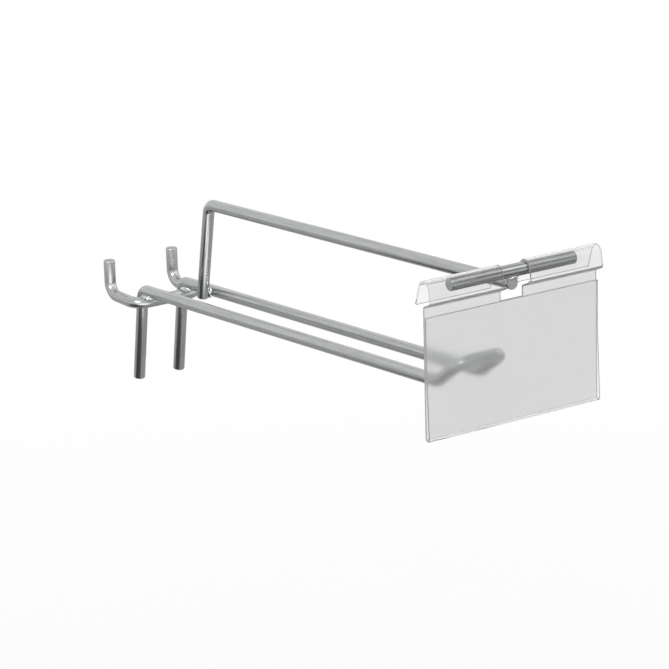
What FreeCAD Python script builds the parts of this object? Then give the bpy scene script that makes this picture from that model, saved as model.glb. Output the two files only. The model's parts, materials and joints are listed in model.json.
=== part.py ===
"""Double pegboard hook with an upper arm and a flip-up price label holder.

Millimetres. X runs along the board, -Y out of it towards the shopper, and Z up. The origin lies on
the board's front face, midway between the two holes that carry the hook, at the wire's height.
Four welded wires make the frame, and a clear extruded holder turns on the cross bar at the front.
"""

import os
from math import cos, pi, radians, sin, tan

import FreeCAD
import Part

# Wire
WIRE_D = 4.0
WELD_SET = 0.2            # how far two wires sink into each other at a weld
END_CHAMFER = 0.35        # broken edge of a cut end

# Base wire, which goes through the board
HOLE_PITCH = 25.4
BASE_REACH = 10.5         # board face to the axis of the cross part
BASE_CORNER_R = 5.0
BOARD_SPACE = 5.0         # board face to the upturned tips
TIP_HEIGHT = 12.0
TIP_BEND_R = 4.5

# Prongs and legs, one wire
PRONG_SPACING = 16.2
PRONG_RISE = 3.3          # degrees above level
LEG_DROP = 29.2
LEG_LEAN = 8.8            # degrees from upright, feet towards the board
LOOP_REACH = 190.5        # board face to the axis of the loop's cross part
LOOP_RISE = 36.0          # degrees above level
LOOP_LENGTH = 14.8        # from the prong's bend to the cross part
LOOP_BEND_R = 6.0
LOOP_CORNER_R = 5.0

# Upper arm and its post, one wire
ARM_HEIGHT = 31.85        # square distance between the axes of arm and prongs
ARM_BEND_R = 4.0
POST_REACH = 26.4         # board face to the post's axis at the prongs' height
POST_LEAN = 10.8
POST_FOOT = 1.9           # how far the post ends below the prong's axis
ARM_OVERHANG = 0.6        # cut end of the arm past the axis of the cross bar

# Cross bar
BAR_D = 4.0
BAR_LENGTH = 46.5
BAR_REACH = 200.0

# Label holder
HOLDER_WIDTH = 64.3
HOLDER_WALL = 0.6
CLIP_CLEARANCE = 0.1
FRONT_LEG_DEPTH = 4.0     # cross bar's axis to the crease below the clip's front leg
FRONT_LEG_FLARE = 8.0     # degrees from upright
BACK_LEG_DEPTH = 5.3
BACK_LEG_FLARE = 18.0
STEP_DROP = 1.5           # from the crease down and back to the hanging sheet
SHEET_SET_BACK = 0.3      # cross bar's axis back to the middle of the hanging sheet
CREASE_R = 0.5
HANG_DEPTH = 46.8         # cross bar's axis to the bottom of the fold
BELLY_DEPTH = 25.0        # where the front sheet begins to part from the back one
BELLY_R = 60.0
FOLD_WIDTH = 1.7
FOLD_R = 0.8
POCKET_DEPTH = 8.6        # cross bar's axis to the upper edge of the front sheet
POCKET_GAP = 0.15
CORNER_R = 0.6

# Cut-out for the arm
NOTCH_WIDTH = 10.0
SLOT_WIDTH = 8.4

# Weld beads
BEAD_R = 2.5
BEAD_HALF = 0.9

TINY = 1e-6

wire_r = WIRE_D / 2
weld_pitch = WIRE_D - WELD_SET
prong_x = PRONG_SPACING / 2
arm_x = prong_x - weld_pitch
rise = radians(PRONG_RISE)


def at(x, reach, z):
    """A point given by its reach, the distance out of the board's front face."""
    return FreeCAD.Vector(x, -reach, z)


def prong_z(reach):
    """Height of the prongs' axes, which rest on the base wire's cross part."""
    return weld_pitch / cos(rise) + (reach - BASE_REACH) * tan(rise)


def arm_z(reach):
    """Height of the upper arm's axis, parallel to the prongs."""
    return prong_z(reach) + ARM_HEIGHT / cos(rise)


def crossing(reach, z, lean, height):
    """Where a line through (reach, z), leaning from upright, meets a line rising with the prongs."""
    slope = tan(radians(lean))
    offset = height(0.0)
    met_z = (offset + (reach - z * slope) * tan(rise)) / (1 - slope * tan(rise))
    return reach + (met_z - z) * slope, met_z


def corner(before, point, after, radius):
    """Start, middle and end of the arc that rounds a corner."""
    back = (before - point).normalize()
    ahead = (after - point).normalize()
    half = back.getAngle(ahead) / 2
    run = radius / tan(half)
    inward = (back + ahead).normalize()
    middle = point + inward * (radius / sin(half) - radius)
    return point + back * run, middle, point + ahead * run


def rounded_path(points, radii):
    """Straight runs joined by tangent arcs, one radius for each inner point."""
    edges = []
    last = points[0]
    for index, radius in enumerate(radii, start=1):
        start, middle, end = corner(points[index - 1], points[index], points[index + 1], radius)
        if (start - last).Length > TINY:
            edges.append(Part.LineSegment(last, start).toShape())
        edges.append(Part.Arc(start, middle, end).toShape())
        last = end
    edges.append(Part.LineSegment(last, points[-1]).toShape())
    return edges


def bent_wire(points, radii, diameter):
    """A round wire along a bent path, with the edges of its two cut ends broken."""
    path = Part.Wire(rounded_path(points, radii))
    heading = points[1] - points[0]
    section = Part.Face(Part.Wire(Part.makeCircle(diameter / 2, points[0], heading)))
    solid = path.makePipe(section)
    ends = [edge for edge in solid.Edges if is_end(edge, points, diameter / 2)]
    return solid.makeChamfer(END_CHAMFER, ends)


def is_end(edge, points, radius):
    """True for the circles at the two ends of a bent wire."""
    if not isinstance(edge.Curve, Part.Circle) or abs(edge.Curve.Radius - radius) > TINY:
        return False
    middle = edge.Curve.Center
    return min((middle - points[0]).Length, (middle - points[-1]).Length) < TINY


def bead(centre, axis):
    """A flat nugget of weld metal with a bevelled rim, about the place where two wires touch."""
    flat = BEAD_R - BEAD_HALF
    half_section = [(0, -BEAD_HALF), (flat, -BEAD_HALF), (BEAD_R, 0), (flat, BEAD_HALF), (0, BEAD_HALF)]
    outline = [FreeCAD.Vector(across, 0, along) for across, along in half_section + half_section[:1]]
    profile = Part.Face(Part.makePolygon(outline))
    solid = profile.revolve(FreeCAD.Vector(), FreeCAD.Vector(0, 0, 1), 360)
    turn = FreeCAD.Rotation(FreeCAD.Vector(0, 0, 1), axis)
    solid.Placement = FreeCAD.Placement(centre, turn)
    return solid


def make_base_wire():
    """The U whose ends go through the board and turn up behind it."""
    side = HOLE_PITCH / 2
    tip_reach = -(BOARD_SPACE + wire_r)
    left = [at(-side, tip_reach, TIP_HEIGHT), at(-side, tip_reach, 0), at(-side, BASE_REACH, 0)]
    right = [at(side, point_reach, z) for point_reach, z in
             ((BASE_REACH, 0), (tip_reach, 0), (tip_reach, TIP_HEIGHT))]
    radii = [TIP_BEND_R, BASE_CORNER_R, BASE_CORNER_R, TIP_BEND_R]
    return bent_wire(left + right, radii, WIRE_D)


def prong_side(x):
    """One side of the prong wire, from the foot of its leg to the front loop."""
    lean = radians(LEG_LEAN)
    leg_reach = BASE_REACH - weld_pitch / cos(lean)
    top_reach, top_z = crossing(leg_reach, 0.0, LEG_LEAN, prong_z)
    foot_reach = leg_reach - LEG_DROP * tan(lean)
    bend_reach = LOOP_REACH - LOOP_LENGTH * cos(radians(LOOP_RISE))
    loop_z = prong_z(bend_reach) + LOOP_LENGTH * sin(radians(LOOP_RISE))
    return [
        at(x, foot_reach, -LEG_DROP),
        at(x, top_reach, top_z),
        at(x, bend_reach, prong_z(bend_reach)),
        at(x, LOOP_REACH, loop_z),
    ]


def make_prong_wire(base_wire):
    """Legs, prongs and loop in one wire, bent round the base wire and welded to it."""
    left = prong_side(-prong_x)
    right = prong_side(prong_x)
    radii = [weld_pitch, LOOP_BEND_R, LOOP_CORNER_R]
    solid = bent_wire(left + right[::-1], radii + radii[::-1], WIRE_D)
    seat = wire_r - WELD_SET / 2
    up = FreeCAD.Vector(0, sin(rise), cos(rise))
    for x in (-prong_x, prong_x):
        solid = solid.fuse(bead(at(x, BASE_REACH, 0) + up * seat, up))
    return solid.cut(base_wire).removeSplitter()


def bar_centre():
    """Middle of the cross bar, which lies on top of the arm."""
    lift = (wire_r + BAR_D / 2 - WELD_SET) / cos(rise)
    return at(arm_x, BAR_REACH, arm_z(BAR_REACH) + lift)


def make_cross_bar():
    """The straight bar across the front end of the arm, with the edges of its ends broken."""
    start = bar_centre() - FreeCAD.Vector(BAR_LENGTH / 2, 0, 0)
    bar = Part.makeCylinder(BAR_D / 2, BAR_LENGTH, start, FreeCAD.Vector(1, 0, 0))
    rims = [edge for edge in bar.Edges if isinstance(edge.Curve, Part.Circle)]
    return bar.makeChamfer(END_CHAMFER, rims)


def make_arm_wire(prong_wire, cross_bar):
    """Post and upper arm in one wire, welded to the right prong and to the cross bar."""
    lean = radians(POST_LEAN)
    level = prong_z(POST_REACH)
    foot_z = level - POST_FOOT
    top_reach, top_z = crossing(POST_REACH, level, POST_LEAN, arm_z)
    end_reach = BAR_REACH + ARM_OVERHANG
    points = [
        at(arm_x, POST_REACH - POST_FOOT * tan(lean), foot_z),
        at(arm_x, top_reach, top_z),
        at(arm_x, end_reach, arm_z(end_reach)),
    ]
    solid = bent_wire(points, [ARM_BEND_R], WIRE_D)
    beside = at(arm_x + wire_r - WELD_SET / 2, POST_REACH, level)
    up = FreeCAD.Vector(0, sin(rise), cos(rise))
    below = bar_centre() - up * (BAR_D / 2 - WELD_SET / 2)
    solid = solid.fuse([bead(beside, FreeCAD.Vector(1, 0, 0)), bead(below, up)])
    return solid.cut([prong_wire, cross_bar]).removeSplitter()


def clip_leg(ring, flare, depth):
    """How far a leg of the clip stands from the bar's axis: at the top of the ring, and at its foot."""
    lean = radians(flare)
    shoulder = ring * tan((pi / 2 - lean) / 2)
    return shoulder, shoulder + (ring + depth) * tan(lean)


def holder_line():
    """Middle line of the holder's section and its corner radii, about the cross bar's axis.

    The first number of a point is its reach past that axis, the second its height above it.
    """
    ring = BAR_D / 2 + CLIP_CLEARANCE + HOLDER_WALL / 2
    back_shoulder, back_foot = clip_leg(ring, BACK_LEG_FLARE, BACK_LEG_DEPTH)
    front_shoulder, front_foot = clip_leg(ring, FRONT_LEG_FLARE, FRONT_LEG_DEPTH)
    sheet = -SHEET_SET_BACK
    front = sheet + HOLDER_WALL + POCKET_GAP
    fold_z = -HANG_DEPTH + HOLDER_WALL / 2
    line = [
        ((-back_foot, -BACK_LEG_DEPTH), None),
        ((-back_shoulder, ring), ring),
        ((front_shoulder, ring), ring),
        ((front_foot, -FRONT_LEG_DEPTH), CREASE_R),
        ((sheet, -FRONT_LEG_DEPTH - STEP_DROP), CREASE_R),
        ((sheet, fold_z), FOLD_R),
        ((sheet + FOLD_WIDTH, fold_z), FOLD_R),
        ((front, -BELLY_DEPTH), BELLY_R),
        ((front, -POCKET_DEPTH), None),
    ]
    points = [at(0, reach, z) for (reach, z), radius in line]
    radii = [radius for place, radius in line if radius is not None]
    return points, radii


def strip_face(points, radii, thickness):
    """A flat band of even thickness about a middle line in the plane X = 0."""
    edges = rounded_path(points, radii)
    plane = FreeCAD.Vector(1, 0, 0)
    sides = []
    for offset in (thickness / 2, -thickness / 2):
        sides.append([shifted(edge, plane, offset) for edge in edges])
    first, second = sides
    caps = [Part.LineSegment(end_point(first, place), end_point(second, place)).toShape() for place in (0, -1)]
    loop = Part.Wire(Part.__sortEdges__(first + second + caps))
    return Part.Face(loop)


def shifted(edge, plane, offset):
    """A line or arc moved sideways within the plane by an offset."""
    places = [edge.FirstParameter, (edge.FirstParameter + edge.LastParameter) / 2, edge.LastParameter]
    moved = []
    for place in places:
        side = edge.tangentAt(place).cross(plane).normalize()
        moved.append(edge.valueAt(place) + side * offset)
    if isinstance(edge.Curve, Part.Circle):
        return Part.Arc(*moved).toShape()
    return Part.LineSegment(moved[0], moved[-1]).toShape()


def end_point(edges, place):
    """Free end of a chain of edges, at its start (0) or its finish (-1)."""
    edge = edges[place]
    return edge.valueAt(edge.FirstParameter if place == 0 else edge.LastParameter)


def block(width, reach_from, reach_to, z_from, z_to):
    """A cutting block centred on the arm, about the cross bar's axis."""
    depth = reach_to - reach_from
    low = FreeCAD.Vector(-width / 2, -reach_to, z_from)
    return Part.makeBox(width, depth, z_to - z_from, low)


def make_label_holder():
    """The clear extrusion: clip, hanging back sheet, fold and pocket sheet, with the cut-out."""
    points, radii = holder_line()
    section = strip_face(points, radii, HOLDER_WALL)
    solid = section.extrude(FreeCAD.Vector(HOLDER_WIDTH, 0, 0))
    solid.translate(FreeCAD.Vector(-HOLDER_WIDTH / 2, 0, 0))
    clear = HOLDER_WIDTH
    solid = solid.cut(block(NOTCH_WIDTH, -clear, clear, CREASE_R - FRONT_LEG_DEPTH, clear))
    solid = solid.cut(block(NOTCH_WIDTH, -clear, -BAR_D / 2, -BACK_LEG_DEPTH - HOLDER_WALL, clear))
    solid = solid.cut(block(SLOT_WIDTH, -clear, clear, -POCKET_DEPTH, clear))
    solid = solid.common(rounded_outline(clear))
    solid.translate(bar_centre())
    return solid.removeSplitter()


def rounded_outline(clear):
    """Front outline of the holder as a thick slab, with rounded lower corners."""
    side = HOLDER_WIDTH / 2
    points = [
        FreeCAD.Vector(-side, -clear, clear),
        FreeCAD.Vector(-side, -clear, -HANG_DEPTH),
        FreeCAD.Vector(side, -clear, -HANG_DEPTH),
        FreeCAD.Vector(side, -clear, clear),
    ]
    edges = rounded_path(points, [CORNER_R, CORNER_R])
    edges.append(Part.LineSegment(points[-1], points[0]).toShape())
    return Part.Face(Part.Wire(edges)).extrude(FreeCAD.Vector(0, 2 * clear, 0))


def main():
    base_wire = make_base_wire()
    prong_wire = make_prong_wire(base_wire)
    cross_bar = make_cross_bar()
    arm_wire = make_arm_wire(prong_wire, cross_bar)
    nodes = {
        "base_wire": base_wire,
        "prong_wire": prong_wire,
        "arm_wire": arm_wire,
        "cross_bar": cross_bar,
        "label_holder": make_label_holder(),
    }
    os.makedirs("parts", exist_ok=True)
    for name, shape in nodes.items():
        shape.exportStep(f"parts/{name}.step")
        box = shape.BoundBox
        print(name, shape.isValid(), len(shape.Solids), f"{shape.Volume:.1f} mm3",
              f"X {box.XMin:.2f}..{box.XMax:.2f} Y {box.YMin:.2f}..{box.YMax:.2f} Z {box.ZMin:.2f}..{box.ZMax:.2f}")


main()
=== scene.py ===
import json
from math import cos, pi, radians, sin, sqrt, tan

import bmesh
import bpy
from bpy.props import FloatProperty, FloatVectorProperty, PointerProperty
from bpy.types import Operator, Panel, PropertyGroup
from mathutils import Matrix, Vector, noise


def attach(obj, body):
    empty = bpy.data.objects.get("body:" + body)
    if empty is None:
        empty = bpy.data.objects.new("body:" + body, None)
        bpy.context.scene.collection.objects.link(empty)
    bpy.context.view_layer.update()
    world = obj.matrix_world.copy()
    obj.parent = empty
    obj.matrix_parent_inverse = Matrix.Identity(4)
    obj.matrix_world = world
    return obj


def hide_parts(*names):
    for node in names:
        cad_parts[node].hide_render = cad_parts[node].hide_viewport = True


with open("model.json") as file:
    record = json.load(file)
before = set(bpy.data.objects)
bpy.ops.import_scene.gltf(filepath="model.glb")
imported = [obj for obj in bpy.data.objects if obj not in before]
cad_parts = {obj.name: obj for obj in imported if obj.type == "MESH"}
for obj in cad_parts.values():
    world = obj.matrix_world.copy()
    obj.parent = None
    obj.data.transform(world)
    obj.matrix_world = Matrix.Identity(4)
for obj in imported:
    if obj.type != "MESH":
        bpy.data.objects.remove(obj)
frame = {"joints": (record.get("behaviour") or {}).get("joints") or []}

bl_info = {
    "name": "Pegboard Hook",
    "version": (1, 0, 0),
    "blender": (4, 5, 0),
    "location": "View3D > Sidebar > Hook",
    "description": "Builds a welded wire pegboard hook with a clear label holder, and its studio",
    "category": "Object",
}

WIRE_BODY = "wire_frame"
HOLDER_BODY = "label_holder"

# The cross bar's middle, about which the holder turns
BAR_CENTRE = Vector(frame["joints"][0]["pos_m"])

# Metres below which two points are taken as one
TINY = 1e-7

# Which of a piece's two finishes its cut faces wear
CUT_FACES = 1


# Properties

def length(name, description, default):
    return FloatProperty(name=name, description=description, default=default, precision=5,
                         min=0.0, unit="LENGTH", subtype="DISTANCE")


def angle(name, description, degrees):
    return FloatProperty(name=name, description=description, default=radians(degrees),
                         unit="ROTATION", subtype="ANGLE")


def colour(name, description, default):
    return FloatVectorProperty(name=name, description=description, default=default,
                               size=3, min=0.0, max=1.0, subtype="COLOR")


def share(name, description, default):
    return FloatProperty(name=name, description=description, default=default,
                         min=0.0, max=1.0, subtype="FACTOR")


class HookWireSizes(PropertyGroup):
    """Sizes of the bent wires. Reach is the distance out in front of the mounting plane."""

    wire_d: length("Wire diameter", "Diameter of the three bent wires", 0.0040)
    weld_set: length("Weld set", "How far two wires sink into each other at a weld", 0.0002)
    end_chamfer: length("End chamfer", "Broken edge of a cut end", 0.00035)
    end_pitch: length("End pitch", "Distance between the axes of the two mounting ends", 0.0254)
    base_reach: length("Base reach", "Reach of the base wire's cross part", 0.0105)
    base_corner_r: length("Base corner", "Bend radius of the base wire's corners", 0.0050)
    tip_space: length("Tip space", "Mounting plane back to the upturned tips", 0.0050)
    tip_height: length("Tip height", "Height of the upturned tips", 0.0120)
    tip_bend_r: length("Tip bend", "Bend radius of the upturned tips", 0.0045)
    prong_spacing: length("Prong spacing", "Distance between the prongs' axes", 0.0162)
    prong_rise: angle("Prong rise", "Rise of the prongs above level", 3.3)
    leg_drop: length("Leg drop", "Depth of the feet below the mounting ends", 0.0292)
    leg_lean: angle("Leg lean", "Lean of the legs, feet towards the mounting plane", 8.8)
    loop_reach: length("Loop reach", "Reach of the front loop's cross part", 0.1905)
    loop_rise: angle("Loop rise", "Rise of the front loop above level", 36.0)
    loop_length: length("Loop length", "From the prong's bend to the cross part", 0.0148)
    loop_bend_r: length("Loop bend", "Bend radius where the loop turns up", 0.0060)
    loop_corner_r: length("Loop corner", "Corner radius of the loop", 0.0050)
    arm_height: length("Arm height", "Square distance from the prongs to the arm", 0.03185)
    arm_bend_r: length("Arm bend", "Bend radius at the top of the post", 0.0040)
    post_reach: length("Post reach", "Reach of the post at the prongs' height", 0.0264)
    post_lean: angle("Post lean", "Lean of the post from upright", 10.8)
    post_foot: length("Post foot", "How far the post ends below the prong's axis", 0.0019)
    arm_overhang: length("Arm overhang", "Arm's cut end past the cross bar's axis", 0.0006)
    bar_d: length("Bar diameter", "Diameter of the cross bar", 0.0040)
    bar_length: length("Bar length", "Length of the cross bar", 0.0465)


class HookHolderSizes(PropertyGroup):
    """Sizes of the label holder. Depths are measured down from the cross bar's axis."""

    width: length("Width", "Width of the holder", 0.0643)
    wall: length("Wall", "Thickness of the plastic", 0.0006)
    clip_clearance: length("Clip clearance", "Air between the clip and the bar", 0.0001)
    front_leg_depth: length("Front leg depth", "Depth of the crease below the clip's front leg", 0.0040)
    front_leg_flare: angle("Front leg flare", "Lean of the clip's front leg", 8.0)
    back_leg_depth: length("Back leg depth", "Depth of the clip's back leg", 0.0053)
    back_leg_flare: angle("Back leg flare", "Lean of the clip's back leg", 18.0)
    step_drop: length("Step drop", "From the crease down to the hanging sheet", 0.0015)
    sheet_set_back: length("Sheet set back", "Bar's axis back to the hanging sheet", 0.0003)
    crease_r: length("Crease radius", "Radius of the two creases", 0.0005)
    hang_depth: length("Hang depth", "Depth of the bottom of the fold", 0.0468)
    belly_depth: length("Belly depth", "Depth where the sheets begin to part", 0.0250)
    belly_r: length("Belly radius", "Radius of the bow of the front sheet", 0.0600)
    fold_width: length("Fold width", "Width of the fold at the bottom", 0.0017)
    fold_r: length("Fold radius", "Radius of the fold's two bends", 0.0008)
    pocket_depth: length("Pocket depth", "Depth of the front sheet's upper edge", 0.0086)
    pocket_gap: length("Pocket gap", "Room for the label", 0.00015)
    corner_r: length("Corner radius", "Radius of the lower corners", 0.0006)
    notch_width: length("Notch width", "Width of the clip's cut-out", 0.0100)
    slot_width: length("Slot width", "Width of the narrow part of the cut-out", 0.0084)


class HookFinishes(PropertyGroup):
    """Colours of the finishes."""

    plating: colour("Plating", "Bright plating of the wire", (0.478, 0.494, 0.486))
    plating_dark: colour("Plating, dark", "Drawing lines in the plating", (0.25, 0.26, 0.255))
    # Painted reflection: the dark of the stripes along the cross bar, also the dark of its drawing lines
    painted_stripe_and_line_dark: colour("Groove", "Bottom of the lines along the cross bar", (0.13, 0.135, 0.132))
    cut_steel: colour("Cut steel", "Sheared ends of the wire", (0.30, 0.31, 0.305))
    weld: colour("Weld metal", "Plated weld beads", (0.72, 0.735, 0.73))
    clear: colour("Clear", "What the thin, clear walls let through", (0.97, 0.972, 0.972))
    smoky: colour("Smoky", "What the front leg and the back sheet let through", (0.82, 0.822, 0.822))
    milk: colour("Milk", "What the haze in the plastic scatters", (0.78, 0.785, 0.785))
    # Painted shade: the dark grey laid along the creases
    shaded_crease: colour("Crease", "The stretched plastic along the creases", (0.45, 0.455, 0.455))
    cut_plastic: colour("Cut plastic", "Sawn ends of the plastic", (0.86, 0.865, 0.865))
    cut_shaded: colour("Cut plastic, shaded", "Sawn edges of sheets and cut-out", (0.42, 0.43, 0.43))
    streak_depth: share("Streaks", "Strength of the drawing lines", 0.60)
    haze: share("Haze", "Milkiness of the sheets", 0.10)
    frost: share("Frost", "Roughness of the sheets", 0.115)


class HookStage(PropertyGroup):
    """Camera, floor and lamps."""

    camera_azimuth: angle("Azimuth", "Camera heading from +Y, to the right", 34.18)
    camera_elevation: angle("Elevation", "How steeply the camera looks down", 16.975)
    camera_roll: angle("Roll", "Turn of the camera about its own view", -1.57)
    focal_length: FloatProperty(name="Focal length", description="Lens for a 36 mm wide sensor",
                                default=0.1771, unit="LENGTH", subtype="DISTANCE_CAMERA")
    floor_drop: length("Floor drop", "Floor's depth below the mounting ends", 0.17)
    floor_r: length("Floor radius", "Radius of the floor", 0.60)
    floor_colour: colour("Floor", "Colour of the floor", (0.92, 0.92, 0.92))
    floor_white: share("Floor white", "How near to white the floor looks below the hook", 0.90)


# Paths of the wires

def at(x, reach, z):
    """A point given by its reach, the distance out in front of the mounting plane."""
    return Vector((x, -reach, z))


class Heights:
    """Heights of the prongs and of the arm, which rise together towards the front."""

    def __init__(self, sizes):
        self.sizes = sizes
        self.pitch = sizes.wire_d - sizes.weld_set

    def prong(self, reach):
        rise = self.sizes.prong_rise
        return self.pitch / cos(rise) + (reach - self.sizes.base_reach) * tan(rise)

    def arm(self, reach):
        return self.prong(reach) + self.sizes.arm_height / cos(self.sizes.prong_rise)

    def crossing(self, reach, z, lean, height):
        """Where a line through (reach, z), leaning from upright, meets a rising wire."""
        slope = tan(lean)
        rise = tan(self.sizes.prong_rise)
        met_z = (height(0.0) + (reach - z * slope) * rise) / (1 - slope * rise)
        return reach + (met_z - z) * slope, met_z


def base_path(sizes):
    side = sizes.end_pitch / 2
    tip = -(sizes.tip_space + sizes.wire_d / 2)
    left = [at(-side, tip, sizes.tip_height), at(-side, tip, 0), at(-side, sizes.base_reach, 0)]
    right = [at(side, sizes.base_reach, 0), at(side, tip, 0), at(side, tip, sizes.tip_height)]
    radii = [sizes.tip_bend_r, sizes.base_corner_r]
    return left + right, radii + radii[::-1]


def prong_path(sizes):
    heights = Heights(sizes)
    leg_reach = sizes.base_reach - heights.pitch / cos(sizes.leg_lean)
    top_reach, top_z = heights.crossing(leg_reach, 0.0, sizes.leg_lean, heights.prong)
    foot_reach = leg_reach - sizes.leg_drop * tan(sizes.leg_lean)
    bend_reach = sizes.loop_reach - sizes.loop_length * cos(sizes.loop_rise)
    bend_z = heights.prong(bend_reach)
    loop_z = bend_z + sizes.loop_length * sin(sizes.loop_rise)
    places = [
        (foot_reach, -sizes.leg_drop),
        (top_reach, top_z),
        (bend_reach, bend_z),
        (sizes.loop_reach, loop_z),
    ]
    half = sizes.prong_spacing / 2
    left = [at(-half, reach, z) for reach, z in places]
    right = [at(half, reach, z) for reach, z in places[::-1]]
    radii = [heights.pitch, sizes.loop_bend_r, sizes.loop_corner_r]
    return left + right, radii + radii[::-1]


def arm_path(sizes):
    heights = Heights(sizes)
    x = arm_x(sizes)
    level = heights.prong(sizes.post_reach)
    top_reach, top_z = heights.crossing(sizes.post_reach, level, sizes.post_lean, heights.arm)
    end_reach = -BAR_CENTRE.y + sizes.arm_overhang
    foot_reach = sizes.post_reach - sizes.post_foot * tan(sizes.post_lean)
    points = [
        at(x, foot_reach, level - sizes.post_foot),
        at(x, top_reach, top_z),
        at(x, end_reach, heights.arm(end_reach)),
    ]
    return points, [sizes.arm_bend_r]


def arm_x(sizes):
    """The arm's side position: its post is welded to the inner side of the right prong."""
    return sizes.prong_spacing / 2 - (sizes.wire_d - sizes.weld_set)


def bar_path(sizes):
    half = Vector((sizes.bar_length / 2, 0, 0))
    return [BAR_CENTRE - half, BAR_CENTRE + half], []


# Wire modelling

WIRE_SIDES = 48
BEND_STEP = radians(6)
LEAST_BEND_STEPS = 2
CHAMFER_SEGMENTS = 3
WIRE_PLACE = "wire_place"


class WireBuilder:
    """A round wire grown ring by ring: straight runs are extruded and bends are spun.

    Each point keeps its place on the wire in one vector: the cosine and sine of its turn round
    the axis, and its distance along the wire in metres.
    """

    def __init__(self, start, heading, radius):
        self.mesh = bmesh.new()
        self.place = self.mesh.verts.layers.float_vector.new(WIRE_PLACE)
        self.along = 0.0
        self.heading = heading
        turn = heading.to_track_quat("Z", "X").to_matrix().to_4x4()
        ring = bmesh.ops.create_circle(self.mesh, radius=radius, segments=WIRE_SIDES,
                                       matrix=Matrix.Translation(start) @ turn)
        for index, vert in enumerate(ring["verts"]):
            around = 2 * pi * index / WIRE_SIDES
            vert[self.place] = (cos(around), sin(around), 0.0)
        self.ring = list(self.mesh.edges)
        self.first = list(self.mesh.edges)

    def keep(self, grown, distance):
        """Notes the new ring and how far along the wire it lies."""
        self.along += distance
        for vert in grown:
            if isinstance(vert, bmesh.types.BMVert):
                cosine, sine, _ = vert[self.place]
                vert[self.place] = (cosine, sine, self.along)
        self.ring = [edge for edge in grown if isinstance(edge, bmesh.types.BMEdge)]

    def straight(self, distance):
        grown = bmesh.ops.extrude_edge_only(self.mesh, edges=self.ring)["geom"]
        verts = [item for item in grown if isinstance(item, bmesh.types.BMVert)]
        edges = [item for item in grown if isinstance(item, bmesh.types.BMEdge)
                 and all(end in verts for end in item.verts)]
        bmesh.ops.translate(self.mesh, verts=verts, vec=self.heading * distance)
        self.keep(verts + edges, distance)

    def bend(self, centre, axis, turn, radius):
        steps = max(LEAST_BEND_STEPS, round(turn / BEND_STEP))
        for _ in range(steps):
            grown = bmesh.ops.spin(self.mesh, geom=self.ring, cent=centre, axis=axis,
                                   angle=turn / steps, steps=1, use_duplicate=False)["geom_last"]
            self.keep(grown, radius * turn / steps)
        self.heading = Matrix.Rotation(turn, 3, axis) @ self.heading

    def close(self, chamfer):
        """Caps both ends, breaks their edges and smooths the wire between them."""
        for ring in (self.first, self.ring):
            cap = bmesh.ops.contextual_create(self.mesh, geom=ring)["faces"]
            for face in cap:
                face.material_index = CUT_FACES
        rims = self.first + self.ring
        bmesh.ops.recalc_face_normals(self.mesh, faces=self.mesh.faces)
        for face in self.mesh.faces:
            face.smooth = face.material_index != CUT_FACES
        bmesh.ops.bevel(self.mesh, geom=rims, offset=chamfer, offset_type="OFFSET", affect="EDGES",
                        segments=CHAMFER_SEGMENTS, profile=0.5, material=-1)
        return self.mesh


def bent_wire(path, diameter, chamfer):
    """The mesh of a round wire along straight runs joined by tangent bends."""
    points, radii = path
    headings = [(b - a).normalized() for a, b in zip(points, points[1:])]
    builder = WireBuilder(points[0], headings[0], diameter / 2)
    last = points[0]
    for index, radius in enumerate(radii):
        corner = points[index + 1]
        before, after = headings[index], headings[index + 1]
        turn = before.angle(after)
        run = radius * tan(turn / 2)
        start = corner - before * run
        if (start - last).length > TINY:
            builder.straight((start - last).length)
        inward = (after - before).normalized()
        centre = corner + inward * (radius / cos(turn / 2))
        builder.bend(centre, before.cross(after).normalized(), turn, radius)
        last = corner + after * run
    builder.straight((points[-1] - last).length)
    return builder.close(chamfer)


def piece(mesh, name, body, materials, replaced=None):
    """Makes an object of a finished mesh, and says what it moves with and stands for."""
    data = bpy.data.meshes.new(name)
    mesh.to_mesh(data)
    mesh.free()
    made = bpy.data.objects.new(name, data)
    bpy.context.scene.collection.objects.link(made)
    for material in materials:
        data.materials.append(material)
    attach(made, body)
    if replaced:
        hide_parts(replaced)
    return made


# Shader building

class Socket:
    """A number that varies over a surface. Sums on it add Math nodes."""

    def __init__(self, shader, output):
        self.shader = shader
        self.output = output

    def sum_with(self, operation, first, second):
        return self.shader.math(operation, first, second)

    def __add__(self, other):
        return self.sum_with("ADD", self, other)

    def __radd__(self, other):
        return self.sum_with("ADD", other, self)

    def __sub__(self, other):
        return self.sum_with("SUBTRACT", self, other)

    def __rsub__(self, other):
        return self.sum_with("SUBTRACT", other, self)

    def __mul__(self, other):
        return self.sum_with("MULTIPLY", self, other)

    def __rmul__(self, other):
        return self.sum_with("MULTIPLY", other, self)

    def above(self, other):
        return self.sum_with("GREATER_THAN", self, other)


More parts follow.
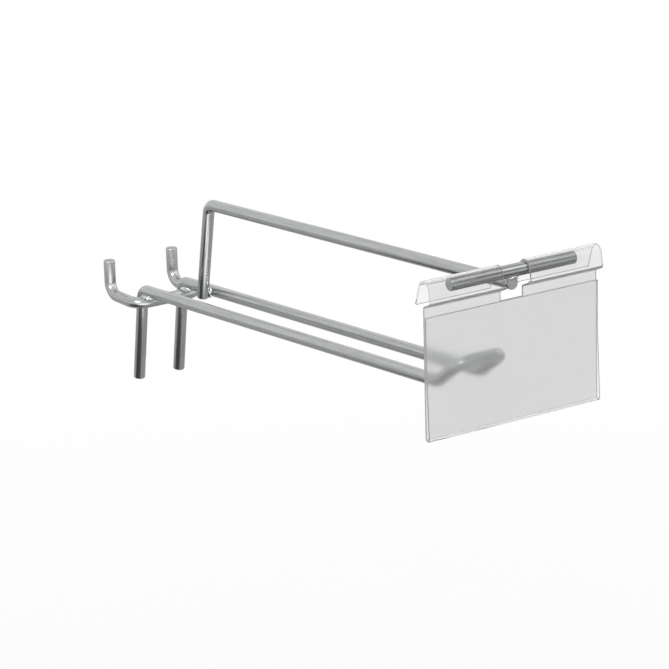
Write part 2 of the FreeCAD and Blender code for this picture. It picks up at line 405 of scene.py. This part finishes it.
class Shader:
    """The node tree of a material or a world, under construction."""

    def __init__(self, owner):
        owner.use_nodes = True
        self.owner = owner
        self.tree = owner.node_tree
        self.tree.nodes.clear()

    def node(self, kind, settings=None, inputs=None, output=0):
        """Adds a node: its settings first, then the values or links of its sockets."""
        made = self.tree.nodes.new(kind)
        for name, value in (settings or {}).items():
            if name == "stops":
                set_stops(made.color_ramp, value)
            else:
                setattr(made, name, value)
        for name, value in (inputs or {}).items():
            if isinstance(value, Socket):
                self.tree.links.new(value.output, made.inputs[name])
            else:
                made.inputs[name].default_value = value
        return Socket(self, made.outputs[output]) if made.outputs else made

    def math(self, operation, *values):
        return self.node("ShaderNodeMath", {"operation": operation}, dict(enumerate(values)))

    def ramp(self, value, stops):
        return self.node("ShaderNodeValToRGB", {"stops": stops}, {0: value})

    def mix(self, factor, first, second):
        """A colour between two colours."""
        factor_socket, first_socket, second_socket = 0, 6, 7
        first, second = (opaque(value) for value in (first, second))
        return self.node("ShaderNodeMix", {"data_type": "RGBA"},
                         {factor_socket: factor, first_socket: first, second_socket: second}, output=2)

    def stretch(self, vector, scale):
        return self.node("ShaderNodeVectorMath", {"operation": "MULTIPLY"}, {0: vector, 1: scale})

    def noise(self, vector, scale=1.0, detail=2.0, roughness=0.5):
        return self.node("ShaderNodeTexNoise", {},
                         {"Vector": vector, "Scale": scale, "Detail": detail, "Roughness": roughness})

    def attribute(self, name):
        return self.node("ShaderNodeAttribute", {"attribute_name": name}, output="Vector")

    def place(self):
        return self.node("ShaderNodeTexCoord", output="Object")

    def parts(self, vector):
        """The three numbers of a vector."""
        split = self.node("ShaderNodeSeparateXYZ", {}, {0: vector}).output.node
        return [Socket(self, out) for out in split.outputs]

    def bump(self, height, strength, distance):
        return self.node("ShaderNodeBump", {},
                         {"Height": height, "Strength": strength, "Distance": distance})

    def finish(self, **inputs):
        """Ends in a Principled shader."""
        return self.show(self.principled(**inputs))

    def principled(self, **inputs):
        """A Principled shader. Underscores in the names stand for spaces."""
        named = {name.replace("_", " "): opaque(value) for name, value in inputs.items()}
        return self.node("ShaderNodeBsdfPrincipled", {}, named)

    def blend(self, factor, first, second):
        return self.node("ShaderNodeMixShader", {}, {0: factor, 1: first, 2: second})

    def show(self, surface):
        self.node("ShaderNodeOutputMaterial", {}, {"Surface": surface})
        return self.owner


def new_finish(name):
    return Shader(bpy.data.materials.new(name))


def opaque(value):
    """A plain colour gets its fourth number. Anything else stays."""
    if isinstance(value, (Socket, int, float)):
        return value
    return (*value, 1.0)


def set_stops(ramp, stops):
    """Puts a ramp's stops at their places, each a position and a grey or a colour."""
    while len(ramp.elements) < len(stops):
        ramp.elements.new(1.0)
    for element, (position, value) in zip(ramp.elements, stops):
        element.position = position
        element.color = opaque((value,) * 3 if isinstance(value, (int, float)) else value)


# Finishes

# Painted reflection stripes round the cross bar: how many, where they sit round it, and how far they
# wander
BAR_LINES = 10
LINE_PHASE = 0.75
LINE_WANDER = 2.2

# How fine each pattern is round a wire, given twice, and along each metre of it
COARSE_LINES = (7.0, 7.0, 14.0)
FINE_LINES = (26.0, 26.0, 60.0)
PATCHES = (1.6, 1.6, 160.0)
BAR_WANDER = (1.0, 1.0, 70.0)

# What the patterns do to the plating
FINE_SHARE = 0.4
PATCH_STRENGTH = 0.7
PLATING_ROUGHNESS = 0.26
STREAK_SHINE = 0.06

# Roughness of the cut ends and of the welds, and how much their grain adds
CUT_STEEL_ROUGHNESS, CUT_STEEL_GRAIN = 0.34, 0.16
WELD_ROUGHNESS, WELD_GRAIN = 0.16, 0.12

# The middle value of a noise
NOISE_MIDDLE = 0.5


def once(maker):
    """Makes each finish one time, however many pieces wear it."""
    made = {}

    def get(finishes):
        if maker.__name__ not in made:
            made[maker.__name__] = maker(finishes)
        return made[maker.__name__]
    return get


def plated(shader, finishes, bright, dark):
    """Plated drawn wire: fine lines along it, soft patches and a satin shine."""
    place = shader.attribute(WIRE_PLACE)
    lines = shader.noise(shader.stretch(place, COARSE_LINES), detail=4.0, roughness=0.62)
    fine = shader.noise(shader.stretch(place, FINE_LINES))
    streaks = shader.ramp(lines * (1 - FINE_SHARE) + fine * FINE_SHARE, [(0.38, 0.0), (0.56, 1.0)])
    patches = shader.noise(shader.stretch(place, PATCHES), detail=3.0, roughness=0.55)
    worn = (patches - NOISE_MIDDLE) * PATCH_STRENGTH
    cover = streaks * finishes.streak_depth + (1.0 - finishes.streak_depth) + worn
    base = shader.mix(cover, dark, bright)
    roughness = PLATING_ROUGHNESS - streaks * STREAK_SHINE
    return shader.finish(Base_Color=base, Metallic=1.0, Roughness=roughness,
                         Normal=shader.bump(streaks, strength=0.08, distance=0.00003))


@once
def bright_wire(finishes):
    """The plating of the three bent wires."""
    return plated(new_finish("bright_wire_finish"), finishes, finishes.plating, finishes.plating_dark)


@once
def lined_bar(finishes):
    """The cross bar's plating, with dark reflection stripes painted along it."""
    shader = new_finish("lined_bar_finish")
    place = shader.attribute(WIRE_PLACE)
    cosine, sine, _ = shader.parts(place)
    turn = shader.math("ARCTAN2", sine, cosine)
    wander = shader.noise(shader.stretch(place, BAR_WANDER), detail=3.0, roughness=0.6)
    # Painted reflection: dark stripes round the bar, laid into its colour
    wave = shader.math("COSINE", turn * BAR_LINES + (wander - NOISE_MIDDLE) * LINE_WANDER + LINE_PHASE)
    between_stripes = shader.ramp(wave * 0.5 + 0.5, [(0.05, 0.0), (0.75, 1.0)])
    bright = shader.mix(between_stripes, finishes.painted_stripe_and_line_dark, finishes.plating)
    return plated(shader, finishes, bright, finishes.painted_stripe_and_line_dark)


@once
def cut_end(finishes):
    """A sheared end, plated over the shear marks."""
    shader = new_finish("cut_end_finish")
    grain = shader.noise(shader.place(), scale=2600.0, detail=3.0, roughness=0.6)
    base = shader.mix(shader.ramp(grain, [(0.35, 0.0), (0.7, 1.0)]), finishes.cut_steel, finishes.plating)
    roughness = CUT_STEEL_ROUGHNESS + grain * CUT_STEEL_GRAIN
    return shader.finish(Base_Color=base, Metallic=1.0, Roughness=roughness,
                         Normal=shader.bump(grain, strength=0.4, distance=0.0001))


@once
def weld_metal(finishes):
    """Plated weld metal: bright, lumpy and a little pitted."""
    shader = new_finish("weld_metal_finish")
    lumps = shader.noise(shader.place(), scale=1500.0, detail=3.0, roughness=0.55)
    base = shader.mix(shader.ramp(lumps, [(0.3, 0.0), (0.6, 1.0)]), finishes.cut_steel, finishes.weld)
    return shader.finish(Base_Color=base, Metallic=1.0, Roughness=WELD_ROUGHNESS + lumps * WELD_GRAIN,
                         Normal=shader.bump(lumps, strength=0.6, distance=0.0002))


SHEET_PLACE = "sheet_place"

# Where the clip's whitish ends begin: out from the bar's middle, and down from its axis
CLIP_END = 0.025
CLIP_FOOT = 0.0035

# How fine the lines are that run across the drawn plastic
DIE_LINES = (40.0, 900.0, 900.0)

PLASTIC_IOR = 1.45
CLEAR_ROUGHNESS = 0.02
CREASE_ROUGHNESS = 0.25
LINE_ROUGHNESS = 0.02
MILKY_ROUGHNESS = 0.35
CUT_ROUGHNESS = 0.5

# How much of the milky finish shows through the clear one
# Along the creases the milky finish carries the painted crease shade
CREASE_MILK = 0.5
LINE_MILK = 0.02
CUT_MILK = 0.65
CUT_GRAIN_MILK = 0.2


@once
def clear_plastic(finishes):
    """Extruded vinyl: clear and smooth in the clip, a little hazy in the sheets, with painted grey shade
    along the creases.
    """
    shader = new_finish("clear_plastic_finish")
    smoke, frost, shaded_crease = shader.parts(shader.attribute(SHEET_PLACE))
    drawn = shader.noise(shader.stretch(shader.place(), DIE_LINES))
    marks = shaded_crease * CREASE_ROUGHNESS
    roughness = CLEAR_ROUGHNESS + frost * finishes.frost + marks + drawn * LINE_ROUGHNESS
    normal = shader.bump(drawn, strength=0.02, distance=0.00005)
    tint = shader.mix(smoke, finishes.clear, finishes.smoky)
    clear = shader.principled(Base_Color=tint, Roughness=roughness, IOR=PLASTIC_IOR,
                              Transmission_Weight=1.0, Normal=normal)
    # Painted shade: the milky layer turns dark grey along the creases
    body = shader.mix(shaded_crease, finishes.milk, finishes.shaded_crease)
    milky = shader.principled(Base_Color=body, Roughness=MILKY_ROUGHNESS, IOR=PLASTIC_IOR, Normal=normal)
    milk = frost * finishes.haze + shaded_crease * CREASE_MILK + drawn * LINE_MILK
    return shader.show(shader.blend(milk, clear, milky))


@once
def cut_plastic(finishes):
    """Sawn plastic: whitish at the clip's two ends, and grey where it stands in the shade."""
    shader = new_finish("cut_plastic_finish")
    across, _, height = shader.parts(shader.place())
    beyond = shader.math("ABSOLUTE", across - BAR_CENTRE.x).above(CLIP_END)
    end = beyond * height.above(BAR_CENTRE.z - CLIP_FOOT)
    grain = shader.noise(shader.place(), scale=3000.0)
    normal = shader.bump(grain, strength=0.2, distance=0.00005)
    base = shader.mix(end, finishes.cut_shaded, finishes.cut_plastic)
    clear = shader.principled(Base_Color=finishes.clear, Roughness=CUT_ROUGHNESS, IOR=PLASTIC_IOR,
                              Transmission_Weight=1.0, Normal=normal)
    milky = shader.principled(Base_Color=base, Roughness=CUT_ROUGHNESS, IOR=PLASTIC_IOR, Normal=normal)
    return shader.show(shader.blend(CUT_MILK + grain * CUT_GRAIN_MILK, clear, milky))


# Pieces

def wire_pieces():
    """Each wire's name, path and diameter."""
    sizes = bpy.context.scene.hook_wires
    return {
        "base_wire": (base_path(sizes), sizes.wire_d),
        "prong_wire": (prong_path(sizes), sizes.wire_d),
        "arm_wire": (arm_path(sizes), sizes.wire_d),
        "cross_bar": (bar_path(sizes), sizes.bar_d),
    }


class HOOK_OT_wires(Operator):
    """Bend the three wires of the frame and cut the cross bar"""

    bl_idname = "hook.wires"
    bl_label = "Wires"

    def execute(self, context):
        scene = context.scene
        for name, (path, diameter) in wire_pieces().items():
            mesh = bent_wire(path, diameter, scene.hook_wires.end_chamfer)
            skin = lined_bar if name == "cross_bar" else bright_wire
            finishes = [skin(scene.hook_finishes), cut_end(scene.hook_finishes)]
            piece(mesh, f"{name}_plated", WIRE_BODY, finishes, name)
        return {"FINISHED"}


# Half lengths of the weld beads: to the side, out from the mounting plane, and up
BASE_BEAD = (0.0027, 0.0033, 0.0013)
POST_BEAD = (0.0010, 0.0024, 0.0022)
BAR_BEAD = (0.0022, 0.0015, 0.0009)

# Where in the noise each bead's lumps are taken from
BASE_SEED, POST_SEED, BAR_SEED = 1.3, 4.1, 6.7

# Height of a bead's swells and of its small lumps, as shares of its size, and how fine they are
SWELL_HEIGHT, SWELL_FINENESS = 0.16, 1.7
LUMP_HEIGHT, LUMP_FINENESS = 0.05, 5.0
BEAD_SUBDIVISIONS = 4


def weld_bead(centre, axes, halves, seed):
    """A lump of weld metal, pulled to its half lengths along three axes and made uneven."""
    mesh = bmesh.new()
    bmesh.ops.create_icosphere(mesh, subdivisions=BEAD_SUBDIVISIONS, radius=1.0)
    shape = Matrix([axis * half for axis, half in zip(axes, halves)]).transposed()
    offset = Vector((seed, seed, seed))
    for vert in mesh.verts:
        swell = SWELL_HEIGHT * noise.noise(vert.co * SWELL_FINENESS + offset)
        lump = LUMP_HEIGHT * noise.noise(vert.co * LUMP_FINENESS + offset)
        vert.co = centre + shape @ (vert.co * (1 + swell + lump))
    for face in mesh.faces:
        face.smooth = True
    return mesh


class HOOK_OT_welds(Operator):
    """Lay the weld beads where the wires cross"""

    bl_idname = "hook.welds"
    bl_label = "Welds"

    def execute(self, context):
        sizes = context.scene.hook_wires
        finish = weld_metal(context.scene.hook_finishes)
        rise = sizes.prong_rise
        up = Vector((0, sin(rise), cos(rise)))
        out = Vector((0, -cos(rise), sin(rise)))
        side = Vector((1, 0, 0))
        axes = (side, out, up)
        seat = (sizes.wire_d - sizes.weld_set) / 2
        half = sizes.prong_spacing / 2
        heights = Heights(sizes)
        base = {"weld_left_prong": -half, "weld_right_prong": half}
        for seed, (name, x) in enumerate(base.items()):
            centre = at(x, sizes.base_reach, 0) + up * seat
            mesh = weld_bead(centre, axes, BASE_BEAD, seed + BASE_SEED)
            piece(mesh, name, WIRE_BODY, [finish])
        beside = at(arm_x(sizes) + seat, sizes.post_reach, heights.prong(sizes.post_reach))
        mesh = weld_bead(beside, axes, POST_BEAD, POST_SEED)
        piece(mesh, "weld_post", WIRE_BODY, [finish])
        below = BAR_CENTRE - up * (sizes.bar_d - sizes.weld_set) / 2
        mesh = weld_bead(below, axes, BAR_BEAD, BAR_SEED)
        piece(mesh, "weld_cross_bar", WIRE_BODY, [finish])
        return {"FINISHED"}


# Label holder

HOLDER_BEND_STEP = radians(7.5)
LEAST_HOLDER_STEPS = 4
CORNER_ROWS = 4

# Rounding asked of the plastic's rims. The bevel's clamp lets only about 0.0024 mm of it through.
RIM_ROUND = 0.00009
RIM_SEGMENTS = 2
RIM_ANGLE = radians(50)


# How smoky, how frosted and how creased each stretch of the holder's section is. A creased stretch is
# rougher and painted with shade.
BACK_LEG = (0.0, 0.0, 0.0)
CLIP_TOP = (0.50, 0.2, 0.0)
FRONT_LEG = (1.0, 0.0, 0.0)
CREASE = (1.0, 0.3, 1.0)
BACK_SHEET = (1.0, 1.0, 0.0)
FOLD = (0.5, 1.0, 0.2)
FRONT_SHEET = (0.10, 0.5, 0.0)
STRETCHES = (BACK_LEG, CLIP_TOP, FRONT_LEG, CREASE, BACK_SHEET, FOLD, FRONT_SHEET, FRONT_SHEET)


def clip_leg(ring, flare, depth):
    """How far a leg of the clip stands from the bar's axis: at the top of the ring, and at its foot."""
    shoulder = ring * tan((pi / 2 - flare) / 2)
    return shoulder, shoulder + (ring + depth) * tan(flare)


def holder_line(sizes, bar_d):
    """Middle line of the holder's section and its bend radii, as offsets from the bar's axis."""
    ring = bar_d / 2 + sizes.clip_clearance + sizes.wall / 2
    back_shoulder, back_foot = clip_leg(ring, sizes.back_leg_flare, sizes.back_leg_depth)
    front_shoulder, front_foot = clip_leg(ring, sizes.front_leg_flare, sizes.front_leg_depth)
    sheet = -sizes.sheet_set_back
    front = sheet + sizes.wall + sizes.pocket_gap
    fold_z = -sizes.hang_depth + sizes.wall / 2
    line = [
        (-back_foot, -sizes.back_leg_depth),
        (-back_shoulder, ring),
        (front_shoulder, ring),
        (front_foot, -sizes.front_leg_depth),
        (sheet, -sizes.front_leg_depth - sizes.step_drop),
        (sheet, fold_z),
        (sheet + sizes.fold_width, fold_z),
        (front, -sizes.belly_depth),
        (front, -sizes.pocket_depth),
    ]
    radii = [ring, ring, sizes.crease_r, sizes.crease_r, sizes.fold_r, sizes.fold_r, sizes.belly_r]
    return [at(0, reach, z) for reach, z in line], radii


class SheetBuilder:
    """The holder's middle surface: its section is drawn by a point, then pulled out sideways."""

    def __init__(self, points, radii):
        self.mesh = bmesh.new()
        self.place = self.mesh.verts.layers.float_vector.new(SHEET_PLACE)
        self.tip = self.mesh.verts.new(points[0])
        self.stretch = STRETCHES[0]
        self.mark()
        headings = [(b - a).normalized() for a, b in zip(points, points[1:])]
        last = points[0]
        for index, radius in enumerate(radii):
            corner = points[index + 1]
            before, after = headings[index], headings[index + 1]
            turn = before.angle(after)
            run = radius * tan(turn / 2)
            self.draw_to(corner - before * run, last)
            centre = corner + (after - before).normalized() * (radius / cos(turn / 2))
            self.stretch = STRETCHES[index + 1]
            self.swing(centre, before.cross(after).normalized(), turn)
            last = corner + after * run
        self.draw_to(points[-1], last)

    def mark(self):
        self.tip[self.place] = self.stretch

    def draw_to(self, point, last):
        if (point - last).length > TINY:
            grown = bmesh.ops.extrude_vert_indiv(self.mesh, verts=[self.tip])
            self.tip = grown["verts"][0]
            self.tip.co = point
            self.mark()

    def swing(self, centre, axis, turn):
        steps = max(LEAST_HOLDER_STEPS, round(turn / HOLDER_BEND_STEP))
        for _ in range(steps):
            grown = bmesh.ops.spin(self.mesh, geom=[self.tip], cent=centre, axis=axis,
                                   angle=turn / steps, steps=1, use_duplicate=False)["geom_last"]
            self.tip = [item for item in grown if isinstance(item, bmesh.types.BMVert)][0]
            self.mark()

    def widen(self, stations):
        """Pulls the line out sideways, through each of the stations."""
        bmesh.ops.translate(self.mesh, verts=self.mesh.verts, vec=(stations[0], 0, 0))
        edges = list(self.mesh.edges)
        for here, there in zip(stations, stations[1:]):
            grown = bmesh.ops.extrude_edge_only(self.mesh, edges=edges)["geom"]
            verts = [item for item in grown if isinstance(item, bmesh.types.BMVert)]
            edges = [item for item in grown if isinstance(item, bmesh.types.BMEdge)
                     and all(end in verts for end in item.verts)]
            bmesh.ops.translate(self.mesh, verts=verts, vec=(there - here, 0, 0))

    def split_at(self, depth):
        """Cuts a row of edges across the sheets at a depth below the bar."""
        everything = self.mesh.verts[:] + self.mesh.edges[:] + self.mesh.faces[:]
        bmesh.ops.bisect_plane(self.mesh, geom=everything, plane_co=(0, 0, -depth), plane_no=(0, 0, 1))

    def cut_out(self, width, depth, behind=-1.0):
        """Takes away what lies within a width, above a depth and behind a distance."""
        gone = []
        for face in self.mesh.faces:
            middle = face.calc_center_median()
            if abs(middle.x) < width / 2 and middle.z > -depth and middle.y > behind:
                gone.append(face)
        bmesh.ops.delete(self.mesh, geom=gone, context="FACES")

    def round_corners(self, side, depth, radius):
        """Draws the lower corners in to a radius."""
        for vert in self.mesh.verts:
            lift = vert.co.z + depth
            if abs(vert.co.x) > side - TINY and lift < radius:
                inset = radius - sqrt(radius ** 2 - (radius - max(lift, 0.0)) ** 2)
                vert.co.x -= inset if vert.co.x > 0 else -inset


class HOOK_OT_label_holder(Operator):
    """Fold the clear label holder over the cross bar"""

    bl_idname = "hook.label_holder"
    bl_label = "Label holder"

    def execute(self, context):
        sizes = context.scene.hook_holder
        bar_d = context.scene.hook_wires.bar_d
        builder = SheetBuilder(*holder_line(sizes, bar_d))
        side = sizes.width / 2
        inner = [sizes.slot_width / 2, sizes.notch_width / 2]
        builder.widen([-side, -inner[1], -inner[0], inner[0], inner[1], side])
        notch_depth = sizes.front_leg_depth - sizes.crease_r
        builder.split_at(notch_depth)
        builder.split_at(sizes.pocket_depth)
        for row in range(1, CORNER_ROWS):
            share_up = 1 - cos(pi / 2 * row / CORNER_ROWS)
            builder.split_at(sizes.hang_depth - sizes.corner_r * share_up)
        builder.cut_out(sizes.notch_width, notch_depth)
        builder.cut_out(sizes.notch_width, sizes.back_leg_depth + sizes.wall, bar_d / 2)
        builder.cut_out(sizes.slot_width, sizes.pocket_depth)
        builder.round_corners(side, sizes.hang_depth, sizes.corner_r)
        mesh = builder.mesh
        bmesh.ops.translate(mesh, verts=mesh.verts, vec=BAR_CENTRE)
        bmesh.ops.recalc_face_normals(mesh, faces=mesh.faces)
        for face in mesh.faces:
            face.smooth = True
        finishes = context.scene.hook_finishes
        holder = piece(mesh, "label_holder_clear", HOLDER_BODY,
                       [clear_plastic(finishes), cut_plastic(finishes)], "label_holder")
        wall = holder.modifiers.new("wall", "SOLIDIFY")
        wall.thickness = sizes.wall
        wall.offset = 0.0
        wall.use_even_offset = True
        wall.material_offset_rim = CUT_FACES
        edge = holder.modifiers.new("edge", "BEVEL")
        edge.width = RIM_ROUND
        edge.segments = RIM_SEGMENTS
        edge.limit_method = "ANGLE"
        edge.angle_limit = RIM_ANGLE
        edge.material = CUT_FACES
        holder.modifiers.new("even_shading", "WEIGHTED_NORMAL").keep_sharp = True
        return {"FINISHED"}


# Stage

CAMERA_PLACE = Vector((-0.56648, -0.94622, 0.31849))
LOOK_AT = Vector((0.0, -0.112, 0.011))
SENSOR_WIDTH_MM = 36
MM_PER_METRE = 1000
CLIP_START = 0.05

WHITE = (1.0, 1.0, 1.0)

# How strongly the pale room lights the hook, where it isn't itself seen
ROOM_LIGHT = 0.6

# Where the floor begins to turn white and where it is white, as shares of its radius
FADE_START, FADE_END = 0.35, 0.95
DISC_SIDES = 96

# How strongly each painted reflection glows, where white is 1, at places from its centre to its rim
FLOOR_GLOW = [(0.0, 0.50), (0.3, 0.66), (1.0, 0.9)]
DARK_GLOW = [(0.0, 0.07), (1.0, 0.10)]
POST_GLOW = [(0.0, 2.1), (1.0, 1.8)]
FRONT_GLOW = 7.0
KEY_GLOW = 16.0

# Air between the floor and the painted reflection discs that lie over it
GLOW_LIFT = 0.002

# The softboxes. Their power is in watts.
KEY_PLACE = Vector((-1.12, -0.71, 0.81))
KEY_SIZE, KEY_POWER = 0.5, 7.0
FILL_PLACE = Vector((1.05, -0.55, 0.75))
FILL_SIZE, FILL_POWER = 1.5, 3.6


def make_camera(stage):
    """A long lens at the photograph's viewing angle."""
    azimuth, elevation = stage.camera_azimuth, stage.camera_elevation
    forward = Vector((sin(azimuth) * cos(elevation), cos(azimuth) * cos(elevation), -sin(elevation)))
    data = bpy.data.cameras.new("camera")
    data.lens = stage.focal_length * MM_PER_METRE
    data.sensor_width = SENSOR_WIDTH_MM
    data.clip_start = CLIP_START
    camera = bpy.data.objects.new("camera", data)
    camera.rotation_mode = "QUATERNION"
    turn = forward.to_track_quat("-Z", "Y").to_matrix() @ Matrix.Rotation(stage.camera_roll, 3, "Z")
    camera.rotation_quaternion = turn.to_quaternion()
    camera.location = CAMERA_PLACE
    bpy.context.scene.collection.objects.link(camera)
    bpy.context.scene.camera = camera


def seen_plainly(shader):
    """1 for rays from the camera, and for those mirrored or passed through by the object."""
    rays = ("Is Camera Ray", "Is Glossy Ray", "Is Transmission Ray")
    path = shader.node("ShaderNodeLightPath").output.node
    camera, glossy, passed = (Socket(shader, path.outputs[name]) for name in rays)
    return shader.node("ShaderNodeClamp", {}, {0: camera + glossy + passed})


def make_world():
    """A pale room: plain white where it is seen, and dimmer as a light."""
    world = bpy.data.worlds.new("studio")
    bpy.context.scene.world = world
    shader = Shader(world)
    room = shader.node("ShaderNodeBackground", {}, {"Color": opaque(WHITE), "Strength": ROOM_LIGHT})
    white = shader.node("ShaderNodeBackground", {}, {"Color": opaque(WHITE), "Strength": 1.0})
    both = shader.blend(seen_plainly(shader), room, white)
    shader.node("ShaderNodeOutputWorld", {}, {"Surface": both})


UP, DOWN, INWARD = Vector((0, 0, 1)), Vector((0, 0, -1)), Vector((0, 1, 0))

# Where a painted reflection's soft edge begins, as a share of its radius
GLOW_EDGE = 0.75


def stage_disc(name, centre, half, facing, material):
    """A flat round or oval piece of the stage, given by its half sizes along the axes."""
    mesh = bmesh.new()
    turn = facing.to_track_quat("Z", "X").to_matrix().to_4x4()
    bmesh.ops.create_circle(mesh, cap_ends=True, radius=1.0, segments=DISC_SIDES, matrix=turn)
    bmesh.ops.scale(mesh, verts=mesh.verts, vec=half)
    bmesh.ops.translate(mesh, verts=mesh.verts, vec=centre)
    data = bpy.data.meshes.new(name)
    mesh.to_mesh(data)
    mesh.free()
    data.materials.append(material)
    disc = bpy.data.objects.new(name, data)
    bpy.context.scene.collection.objects.link(disc)
    return disc


def from_centre(shader, centre, half):
    """0 at a disc's centre and 1 at its rim."""
    away = shader.node("ShaderNodeVectorMath", {"operation": "SUBTRACT"}, {0: shader.place(), 1: centre})
    shrink = [1 / size if size else 0.0 for size in half]
    return shader.node("ShaderNodeVectorMath", {"operation": "LENGTH"}, {0: shader.stretch(away, shrink)},
                       output="Value")


def make_floor(stage):
    """A pale round floor below the hook, which fades into the white room."""
    centre = Vector((0, LOOK_AT.y, -stage.floor_drop))
    half = Vector((stage.floor_r, stage.floor_r, 0))
    shader = new_finish("floor_paper")
    out = from_centre(shader, centre, half)
    fade = shader.ramp(out, [(FADE_START, stage.floor_white), (FADE_END, 1.0)])
    paper = shader.node("ShaderNodeBsdfDiffuse", {}, {"Color": opaque(stage.floor_colour)})
    white = shader.node("ShaderNodeEmission", {}, {"Color": opaque(WHITE), "Strength": 1.0})
    shader.show(shader.blend(fade * seen_plainly(shader), paper, white))
    stage_disc("floor", centre, half, UP, shader.owner)


def make_painted_reflection(name, facing, centre, half, shades, through=False):
    """A painted reflection: a soft-edged glowing disc, no lamp, that only shows where the metal mirrors
    its face.

    One that shows through is mirrored by the metal behind the clear plastic too.
    """
    centre, half = Vector(centre), Vector(half)
    shader = new_finish(name)
    out = from_centre(shader, centre, half)
    edge = shader.ramp(out, [(GLOW_EDGE, 0.0), (1.0, 1.0)])
    back = shader.node("ShaderNodeNewGeometry", output="Backfacing")
    strength = max(shade for _, shade in shades)
    tone = shader.ramp(out, [(place, shade / strength) for place, shade in shades])
    grey = shader.node("ShaderNodeEmission", {}, {"Color": tone, "Strength": strength})
    nothing = shader.node("ShaderNodeBsdfTransparent")
    shader.show(shader.blend(shader.math("MAXIMUM", edge, back), grey, nothing))
    reflection_disc = stage_disc(name, centre, half, facing, shader.owner)
    reflection_disc.visible_camera = False
    reflection_disc.visible_diffuse = False
    reflection_disc.visible_transmission = through
    reflection_disc.visible_volume_scatter = False
    reflection_disc.visible_shadow = False


def even_glow(strength):
    return [(0.0, strength), (1.0, strength)]


def make_painted_reflections(stage):
    """Painted reflections: the dark, grey and bright glowing discs, no lamps, that only the metal
    mirrors.
    """
    floor_z = GLOW_LIFT - stage.floor_drop
    # Painted reflection of shade below the hook: grey, darkest near its middle
    make_painted_reflection("floor_shade_reflection", UP, centre=(0, LOOK_AT.y, floor_z), half=(2.5, 2.5, 0), shades=FLOOR_GLOW)
    # Painted reflection of dark shade beside the hook
    beside = (-0.240, -0.085, floor_z + GLOW_LIFT)
    make_painted_reflection("dark_shade_reflection", UP, centre=beside, half=(0.235, 0.235, 0), shades=DARK_GLOW)
    # Painted highlight: a bright band mirrored in the post
    behind = (-0.060, -0.080, -0.030)
    make_painted_reflection("post_highlight_reflection", INWARD, centre=behind, half=(0.085, 0, 0.036), shades=POST_GLOW)
    # Painted glints: bright discs mirrored in the bends, also behind the clear plastic
    before = (0.10, -0.98, 0.50)
    make_painted_reflection("front_glint_reflection", DOWN, before, (0.25, 0.25, 0), even_glow(FRONT_GLOW), through=True)
    make_painted_reflection("key_glint_reflection", DOWN, KEY_PLACE, (0.28, 0.28, 0), even_glow(KEY_GLOW), through=True)


def make_lamp(name, place, size, power):
    """A square soft lamp that faces the hook."""
    data = bpy.data.lights.new(name, "AREA")
    data.size = size
    data.energy = power
    lamp = bpy.data.objects.new(name, data)
    lamp.location = place
    lamp.rotation_mode = "QUATERNION"
    lamp.rotation_quaternion = (LOOK_AT - place).to_track_quat("-Z", "Y")
    bpy.context.scene.collection.objects.link(lamp)


class HOOK_OT_stage(Operator):
    """Set up the camera, the pale room, the floor and the soft lamps"""

    bl_idname = "hook.stage"
    bl_label = "Stage"

    def execute(self, context):
        stage = context.scene.hook_stage
        make_camera(stage)
        make_world()
        make_floor(stage)
        make_painted_reflections(stage)
        make_lamp("key_softbox", KEY_PLACE, KEY_SIZE, KEY_POWER)
        make_lamp("fill_softbox", FILL_PLACE, FILL_SIZE, FILL_POWER)
        context.scene.view_settings.view_transform = "Standard"
        return {"FINISHED"}


class HOOK_PT_panel(Panel):
    """Lists the hook's pieces and their sizes"""

    bl_idname = "HOOK_PT_panel"
    bl_label = "Pegboard hook"
    bl_space_type = "VIEW_3D"
    bl_region_type = "UI"
    bl_category = "Hook"

    def draw(self, context):
        for operator in OPERATORS:
            self.layout.operator(operator.bl_idname)
        for group in GROUPS:
            settings = getattr(context.scene, group)
            box = self.layout.box()
            for name in settings.__annotations__:
                box.prop(settings, name)


OPERATORS = (HOOK_OT_stage, HOOK_OT_wires, HOOK_OT_welds, HOOK_OT_label_holder)
GROUPS = {
    "hook_wires": HookWireSizes,
    "hook_holder": HookHolderSizes,
    "hook_finishes": HookFinishes,
    "hook_stage": HookStage,
}


def register():
    for cls in (*GROUPS.values(), *OPERATORS, HOOK_PT_panel):
        bpy.utils.register_class(cls)
    for name, group in GROUPS.items():
        setattr(bpy.types.Scene, name, PointerProperty(type=group))


def unregister():
    for name in GROUPS:
        delattr(bpy.types.Scene, name)
    for cls in (HOOK_PT_panel, *OPERATORS[::-1], *list(GROUPS.values())[::-1]):
        bpy.utils.unregister_class(cls)


def main():
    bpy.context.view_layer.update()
    register()
    bpy.ops.hook.stage()
    bpy.ops.hook.wires()
    bpy.ops.hook.welds()
    bpy.ops.hook.label_holder()


if __name__ == "__main__":
    main()
